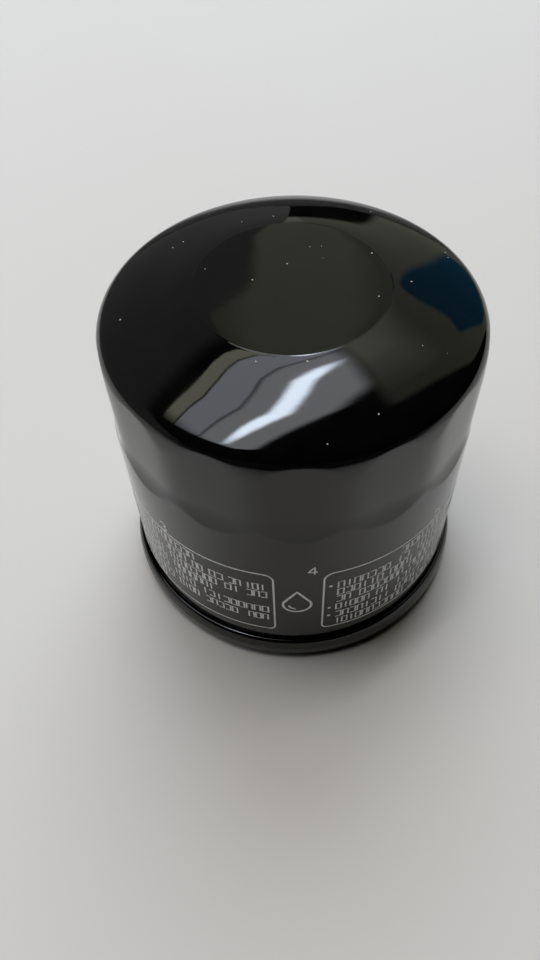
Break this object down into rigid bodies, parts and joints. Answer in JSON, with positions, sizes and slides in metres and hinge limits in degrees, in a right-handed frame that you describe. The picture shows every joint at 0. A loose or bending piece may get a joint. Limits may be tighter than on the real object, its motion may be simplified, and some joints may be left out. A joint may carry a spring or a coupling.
{
  "type": "oil filter",
  "caption": "Spin-on canister oil filter with wrench flats, rolled seam, gasket, threaded plate, pleated element and spring-loaded bypass valve.",
  "frame": {"origin": "centre of the gasket's sealing face, which is also the face the filter stands on", "axes": "+Z along the thread axis towards the domed end, -Y through the middle of one wrench flat"},
  "size_m": [0.0678, 0.0678, 0.0657],
  "materials": {
    "black_enamel": "high-gloss black stove enamel",
    "sealant": "cured lining compound",
    "gasket_rubber": "matte nitrile",
    "zinc_plate": "bright zinc-plated steel",
    "valve_rubber": "matte moulded silicone",
    "tinned_steel": "tin-plated sheet",
    "potting": "cast plastisol",
    "filter_paper": "resin-cured cellulose filter paper",
    "spring_steel": "drawn spring wire",
    "print_ink": "light grey screen-print ink on the enamel"
  },
  "bodies": {
    "filter": {"canister_shell": "black_enamel", "seaming_lid": "black_enamel", "seam_sealant": "sealant", "sealing_gasket": "gasket_rubber", "thread_plate": "zinc_plate", "element_grommet": "gasket_rubber", "lower_end_cap": "tinned_steel", "lower_potting": "potting", "pleated_paper": "filter_paper", "pleat_clip": "tinned_steel", "centre_tube": "tinned_steel", "upper_potting": "potting", "upper_end_cap": "tinned_steel", "bypass_seat": "zinc_plate", "bypass_cage": "zinc_plate", "bypass_spring": "spring_steel", "spring_seat": "zinc_plate", "element_spring": "spring_steel"},
    "bypass_disc": {"bypass_poppet": "zinc_plate", "bypass_seal": "gasket_rubber"},
    "drainback_lip": {"drainback_valve": "valve_rubber"}
  },
  "joints": [
    {"name": "bypass_opening", "type": "slide", "parent": "filter", "child": "bypass_disc", "axis": [0, 0, -1], "range_m": [0, 0.003], "stiffness_N_per_m": 3000, "springref_m": -0.004, "deforming": ["bypass_spring"]},
    {"name": "drainback_lift", "type": "slide", "parent": "filter", "child": "drainback_lip", "axis": [0, 0, 1], "range_m": [0, 0.001], "stiffness_N_per_m": 400, "springref_m": -0.001}
  ]
}
